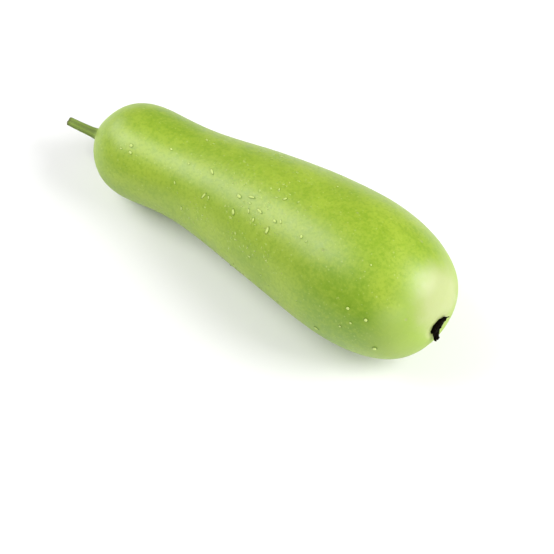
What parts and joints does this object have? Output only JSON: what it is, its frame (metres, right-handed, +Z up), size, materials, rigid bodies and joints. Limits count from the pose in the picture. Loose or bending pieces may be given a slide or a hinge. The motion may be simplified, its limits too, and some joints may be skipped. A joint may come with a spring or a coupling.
{
  "type": "bottle gourd",
  "caption": "Whole bottle gourd as picked: a long pale green fruit that swells to its blossom end, with the stub of its stem and its dried flower, lying on its side.",
  "frame": {"origin": "middle of the whole length and width, on the surface that the gourd lies on", "axes": "+X along the length towards the blossom end with its dried flower, +Z up, +Y to the side that the fruit bows to"},
  "size_m": [0.3198, 0.1036, 0.1023],
  "materials": {
    "skin": "satin",
    "stem": "matte",
    "dried_petals": "matte"
  },
  "bodies": {
    "root": {"fruit": "skin", "stem": "stem", "dried_flower": "dried_petals"}
  },
  "joints": []
}
